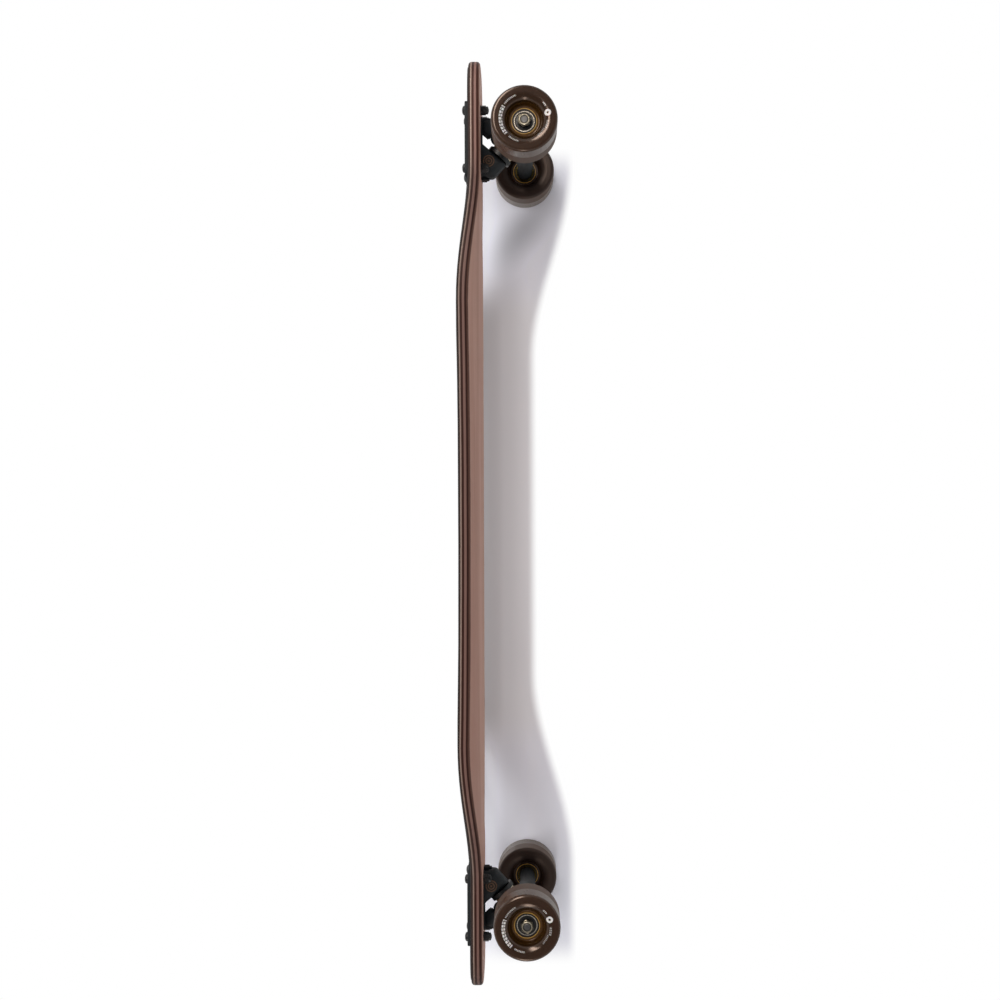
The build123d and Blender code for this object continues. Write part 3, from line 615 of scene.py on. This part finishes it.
def build_backdrop():
    far = 6.0
    rest = WHEEL_SIDE + 0.0004
    corners = [(-far, rest, -far), (far, rest, -far), (far, rest, far), (-far, rest, far)]
    backdrop = plane("backdrop", corners, backdrop_material())
    backdrop.visible_shadow = False


def build_dark_card():
    """A dim card behind the camera, seen in gloss alone, so that it doesn't show bright white."""
    paint = Paint("dark_card")
    paint.finish(
        Base_Color=(0.0, 0.0, 0.0, 1.0), Roughness=1.0, Specular_IOR_Level=0.0,
        Emission_Color=(1.0, 1.0, 1.0, 1.0), Emission_Strength=CARD_LEVEL,
    )
    far = 5.0
    back = -2.9
    corners = [(-far, back, far), (far, back, far), (far, back, -far), (-far, back, -far)]
    card = plane("dark_card", corners, paint.material)
    card.visible_camera = False
    card.visible_diffuse = False
    card.visible_shadow = False


def build_world():
    """Dim to the object, and white to the camera and in reflections."""
    world = bpy.data.worlds.new("studio")
    world.use_nodes = True
    nodes, links = world.node_tree.nodes, world.node_tree.links
    path = nodes.new("ShaderNodeLightPath")
    previous = path.outputs["Is Camera Ray"]
    for ray in ("Is Transmission Ray", "Is Glossy Ray"):
        either = nodes.new("ShaderNodeMath")
        either.operation = "MAXIMUM"
        links.new(previous, either.inputs[0])
        links.new(path.outputs[ray], either.inputs[1])
        previous = either.outputs[0]
    level = nodes.new("ShaderNodeMapRange")
    level.inputs["To Min"].default_value = AMBIENT
    level.inputs["To Max"].default_value = 1.0
    links.new(previous, level.inputs["Value"])
    links.new(level.outputs[0], nodes["Background"].inputs["Strength"])
    nodes["Background"].inputs["Color"].default_value = (1.0, 1.0, 1.0, 1.0)
    bpy.context.scene.world = world


def soft_light(name, place, aim, size, watts, in_gloss=True, on_matte=True, colour=(1, 1, 1)):
    """A rectangular soft light aimed at a point. It may light gloss alone or matte alone."""
    lamp = bpy.data.lights.new(name, "AREA")
    lamp.shape = "RECTANGLE"
    lamp.size, lamp.size_y = size
    lamp.energy = watts
    lamp.color = colour
    made = bpy.data.objects.new(name, lamp)
    made.location = place
    made.rotation_euler = (Vector(aim) - Vector(place)).to_track_quat("-Z", "Y").to_euler()
    made.visible_glossy = in_gloss
    made.visible_diffuse = on_matte
    bpy.context.scene.collection.objects.link(made)


def build_camera():
    """A 50 mm lens square on to the board's right side, with the nose at the top."""
    camera = bpy.data.objects.new("camera", bpy.data.cameras.new("camera"))
    camera.data.sensor_width = 36.0
    camera.data.lens = CAMERA_LENS
    camera.data.shift_x, camera.data.shift_y = CAMERA_SHIFT
    right = Vector((-CAMERA_ROLL, 0, -1)).normalized()
    up = Vector((1, 0, -CAMERA_ROLL)).normalized()
    back = right.cross(up)
    turn = Matrix((right, up, back)).transposed().to_4x4()
    camera.matrix_world = Matrix.Translation(CAMERA_PLACE) @ turn
    bpy.context.scene.collection.objects.link(camera)
    bpy.context.scene.camera = camera


build_backdrop()
build_dark_card()
build_world()
soft_light("front_strip", (-0.1, -2.2, 0.16), (0.0, 0, 0.1), (3.2, 0.4), 20.0, in_gloss=False)
soft_light("key_box", (1.75, -2.0, 0.95), (0.1, 0, 0.05), (1.3, 1.1), 24.0, in_gloss=False)
soft_light("key_gloss", (1.63, -1.85, 0.885), (0.1, 0, 0.05), (2.1, 0.8), 72.0, on_matte=False,
           colour=(1.0, 0.9, 0.8))
soft_light("low_box", (-2.5, -2.0, 0.15), (-0.2, 0, 0.05), (0.8, 0.6), 7.0, in_gloss=False)
soft_light("low_gloss", (-2.5, -1.40, 0.14), (-0.2, 0, 0.05), (1.5, 0.5), 18.0, on_matte=False,
           colour=(1.0, 0.88, 0.76))
soft_light("left_box", (0.0, -1.35, 1.9), (0, 0.1, 0.05), (2.6, 1.0), 30.0, in_gloss=False)
soft_light("right_fill", (0, -0.45, -2.2), (0, 0, 0.06), (2.0, 0.5), 16.0, in_gloss=False)
soft_light("back_box", (0.6, 2.2, 0.9), (0, 0, 0.05), (2.4, 1.2), 30.0)
build_camera()
bpy.context.scene.view_settings.view_transform = "Standard"
